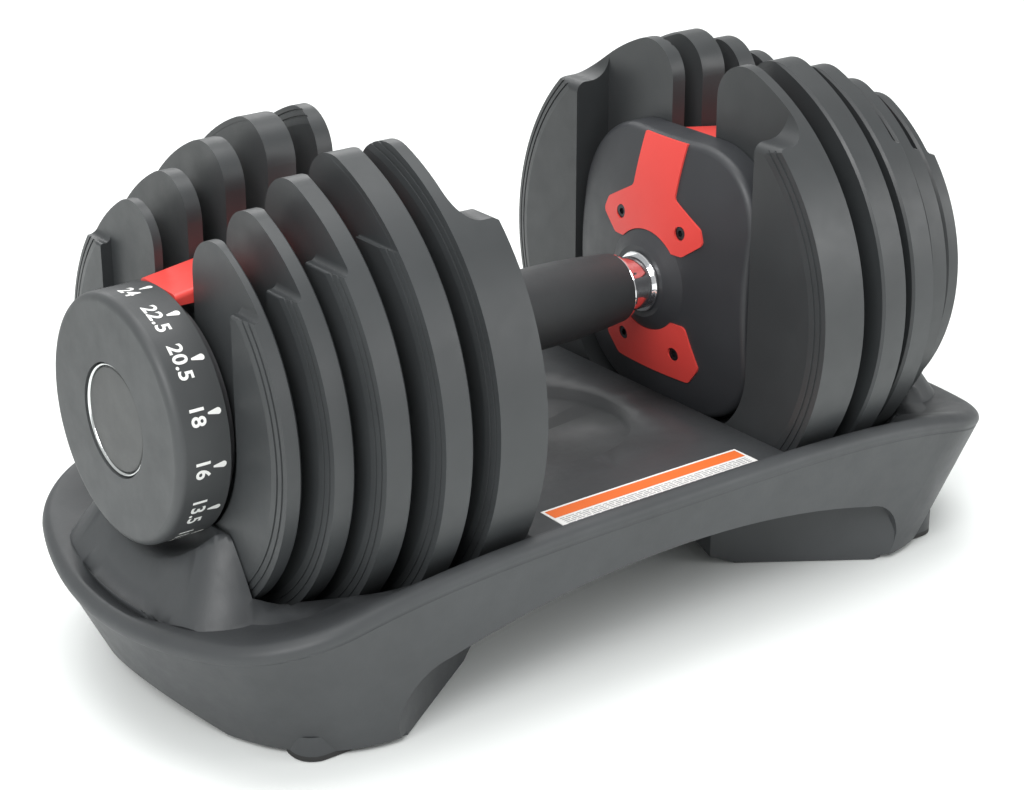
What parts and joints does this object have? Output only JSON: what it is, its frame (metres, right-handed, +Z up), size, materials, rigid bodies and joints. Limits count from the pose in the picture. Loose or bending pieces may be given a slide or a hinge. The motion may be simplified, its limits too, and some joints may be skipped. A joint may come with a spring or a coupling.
{
  "type": "adjustable dumbbell",
  "caption": "Dial-select adjustable dumbbell resting in its moulded storage base, with nested U-slotted plates, red bridges and a turning weight dial at each end.",
  "frame": {"origin": "on the floor under the middle of the base", "axes": "+X along the handle, +Z up, front of the base towards -Y"},
  "size_m": [0.414, 0.2014, 0.212],
  "materials": {
    "plate_plastic": "moulded, satin black, fine grain",
    "core_steel": "sealed inside the moulding",
    "tray_plastic": "fine spark-eroded grain",
    "shell_plastic": "satin",
    "dial_plastic": "fine grain, white printed numbers",
    "cap_plastic": "blank, satin",
    "disc_plastic": "natural black nylon",
    "red_plastic": "satin coral red",
    "grip_rubber": "matt, finely pebbled",
    "foot_rubber": "matt",
    "chrome": "polished",
    "steel": "turned, zinc plated",
    "spring_steel": "spring wire",
    "black_steel": "black oxide",
    "label_film": "printed film, blank"
  },
  "bodies": {
    "base": {"base_tray": "tray_plastic", "base_skirt": "tray_plastic", "rubber_feet": "foot_rubber", "base_label": "label_film"},
    "handle": {"handle_axle": "steel", "handle_grip": "grip_rubber", "end_bolts": "steel", "collar_left": "chrome", "support_disc_left": "shell_plastic", "bridge_left": "red_plastic", "lower_bracket_left": "red_plastic", "bracket_screws_left": "black_steel", "end_plate_left": "steel", "lock_spring_left": "spring_steel", "collar_right": "chrome", "support_disc_right": "shell_plastic", "bridge_right": "red_plastic", "lower_bracket_right": "red_plastic", "bracket_screws_right": "black_steel", "end_plate_right": "steel", "lock_spring_right": "spring_steel"},
    "dial_left": {"dial_knob_left": "dial_plastic", "dial_cap_left": "cap_plastic", "drive_sleeve_left": "steel", "selector_disc_1_left": "disc_plastic", "selector_disc_2_left": "disc_plastic", "selector_disc_3_left": "disc_plastic", "selector_disc_4_left": "disc_plastic", "selector_disc_5_left": "disc_plastic"},
    "lock_left": {"lock_slider_left": "steel"},
    "plate_1_left_set": {"plate_1_left": "plate_plastic", "plate_core_1_left": "core_steel"},
    "plate_2_left_set": {"plate_2_left": "plate_plastic", "plate_core_2_left": "core_steel"},
    "plate_3_left_set": {"plate_3_left": "plate_plastic", "plate_core_3_left": "core_steel"},
    "plate_4_left_set": {"plate_4_left": "plate_plastic", "plate_core_4_left": "core_steel"},
    "plate_5_left_set": {"plate_5_left": "plate_plastic", "plate_core_5_left": "core_steel"},
    "dial_right": {"dial_knob_right": "dial_plastic", "dial_cap_right": "cap_plastic", "drive_sleeve_right": "steel", "selector_disc_1_right": "disc_plastic", "selector_disc_2_right": "disc_plastic", "selector_disc_3_right": "disc_plastic", "selector_disc_4_right": "disc_plastic", "selector_disc_5_right": "disc_plastic"},
    "lock_right": {"lock_slider_right": "steel"},
    "plate_1_right_set": {"plate_1_right": "plate_plastic", "plate_core_1_right": "core_steel"},
    "plate_2_right_set": {"plate_2_right": "plate_plastic", "plate_core_2_right": "core_steel"},
    "plate_3_right_set": {"plate_3_right": "plate_plastic", "plate_core_3_right": "core_steel"},
    "plate_4_right_set": {"plate_4_right": "plate_plastic", "plate_core_4_right": "core_steel"},
    "plate_5_right_set": {"plate_5_right": "plate_plastic", "plate_core_5_right": "core_steel"}
  },
  "joints": [
    {"name": "handle_lift", "type": "slide", "parent": "base", "child": "handle", "axis": [0, 0, 1], "range_m": [0, 0.2]},
    {"name": "dial_left_turn", "type": "hinge", "parent": "handle", "child": "dial_left", "pos_m": [-0.18, 0, 0.1175], "axis": [-1, 0, 0], "continuous": true},
    {"name": "lock_left_slide", "type": "slide", "parent": "handle", "child": "lock_left", "axis": [0, 0, 1], "range_m": [-0.004, 0], "deforming": ["lock_spring_left"]},
    {"name": "plate_1_left_lift", "type": "slide", "parent": "base", "child": "plate_1_left_set", "axis": [0, 0, 1], "range_m": [0, 0.2]},
    {"name": "plate_2_left_lift", "type": "slide", "parent": "base", "child": "plate_2_left_set", "axis": [0, 0, 1], "range_m": [0, 0.2]},
    {"name": "plate_3_left_lift", "type": "slide", "parent": "base", "child": "plate_3_left_set", "axis": [0, 0, 1], "range_m": [0, 0.2]},
    {"name": "plate_4_left_lift", "type": "slide", "parent": "base", "child": "plate_4_left_set", "axis": [0, 0, 1], "range_m": [0, 0.2]},
    {"name": "plate_5_left_lift", "type": "slide", "parent": "base", "child": "plate_5_left_set", "axis": [0, 0, 1], "range_m": [0, 0.2]},
    {"name": "dial_right_turn", "type": "hinge", "parent": "handle", "child": "dial_right", "pos_m": [0.18, 0, 0.1175], "axis": [1, 0, 0], "continuous": true},
    {"name": "lock_right_slide", "type": "slide", "parent": "handle", "child": "lock_right", "axis": [0, 0, 1], "range_m": [-0.004, 0], "deforming": ["lock_spring_right"]},
    {"name": "plate_1_right_lift", "type": "slide", "parent": "base", "child": "plate_1_right_set", "axis": [0, 0, 1], "range_m": [0, 0.2]},
    {"name": "plate_2_right_lift", "type": "slide", "parent": "base", "child": "plate_2_right_set", "axis": [0, 0, 1], "range_m": [0, 0.2]},
    {"name": "plate_3_right_lift", "type": "slide", "parent": "base", "child": "plate_3_right_set", "axis": [0, 0, 1], "range_m": [0, 0.2]},
    {"name": "plate_4_right_lift", "type": "slide", "parent": "base", "child": "plate_4_right_set", "axis": [0, 0, 1], "range_m": [0, 0.2]},
    {"name": "plate_5_right_lift", "type": "slide", "parent": "base", "child": "plate_5_right_set", "axis": [0, 0, 1], "range_m": [0, 0.2]}
  ],
  "couplings": [
    {"joint": "lock_left_slide", "follows": "handle_lift", "ratio": -0.02},
    {"joint": "plate_1_left_lift", "follows": "handle_lift", "ratio": 1},
    {"joint": "plate_2_left_lift", "follows": "handle_lift", "ratio": 1},
    {"joint": "plate_3_left_lift", "follows": "handle_lift", "ratio": 1},
    {"joint": "plate_4_left_lift", "follows": "handle_lift", "ratio": 1},
    {"joint": "plate_5_left_lift", "follows": "handle_lift", "ratio": 1},
    {"joint": "lock_right_slide", "follows": "handle_lift", "ratio": -0.02},
    {"joint": "plate_1_right_lift", "follows": "handle_lift", "ratio": 1},
    {"joint": "plate_2_right_lift", "follows": "handle_lift", "ratio": 1},
    {"joint": "plate_3_right_lift", "follows": "handle_lift", "ratio": 1},
    {"joint": "plate_4_right_lift", "follows": "handle_lift", "ratio": 1},
    {"joint": "plate_5_right_lift", "follows": "handle_lift", "ratio": 1}
  ]
}
